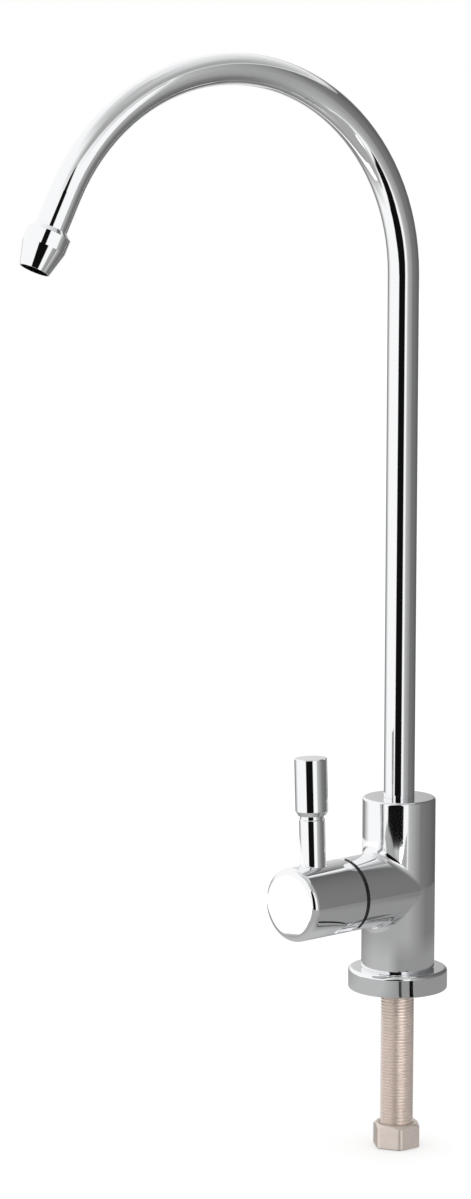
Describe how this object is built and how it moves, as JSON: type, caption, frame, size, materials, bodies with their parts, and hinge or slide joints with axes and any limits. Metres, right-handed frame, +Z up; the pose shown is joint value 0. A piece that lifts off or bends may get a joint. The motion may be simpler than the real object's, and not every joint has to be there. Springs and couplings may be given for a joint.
{
  "type": "drinking water filter tap",
  "caption": "Worktop tap for filtered drinking water: slim column, tall swivelling swan-neck spout, side quarter-turn lever, threaded shank with a lock nut.",
  "frame": {"origin": "centre of the base flange's underside, where it stands on the worktop", "axes": "+Z up along the column, the spout reaches out along -Y, and the handle's axis is turned 9.5 degrees from -Y towards +X"},
  "size_m": [0.0361, 0.1588, 0.3621],
  "materials": {
    "chrome": "bright chrome plate, mirror polished",
    "plain_nickel": "plain nickel-plated brass, not polished",
    "turned_brass": "bare turned brass",
    "black_rubber": "black sealing rubber",
    "spring_steel": "plain spring steel",
    "ceramic": "lapped white alumina",
    "white_plastic": "slippery white plastic",
    "dark_plastic": "dark plastic"
  },
  "bodies": {
    "tap": {"tap_body": "chrome", "base_flange": "chrome", "flange_gasket": "black_rubber", "threaded_shank": "plain_nickel", "shank_seal": "black_rubber", "cartridge_housing": "turned_brass", "cartridge_o_ring": "black_rubber", "inlet_seal": "black_rubber", "fixed_disc": "ceramic", "friction_washer": "white_plastic", "glide_ring": "dark_plastic"},
    "spout": {"spout_tube": "chrome", "outlet_nozzle": "chrome", "spout_o_ring_lower": "black_rubber", "spout_o_ring_upper": "black_rubber", "spout_snap_ring": "spring_steel"},
    "handle": {"handle_hub": "chrome", "lever_stem": "chrome", "lever_grip": "chrome", "spindle": "turned_brass", "spindle_o_ring_inner": "black_rubber", "spindle_o_ring_outer": "black_rubber", "spindle_circlip": "spring_steel", "moving_disc": "ceramic"},
    "nut": {"lock_nut": "plain_nickel"}
  },
  "joints": [
    {"name": "spout_swivel", "type": "hinge", "parent": "tap", "child": "spout", "pos_m": [0, 0, 0.0643], "axis": [0, 0, 1], "continuous": true},
    {"name": "lever_turn", "type": "hinge", "parent": "tap", "child": "handle", "pos_m": [0, 0, 0.0348], "axis": [0.165, -0.9863, 0], "range_deg": [0, 90]},
    {"name": "nut_travel", "type": "slide", "parent": "tap", "child": "nut", "axis": [0, 0, 1], "range_m": [0, 0.044]}
  ]
}
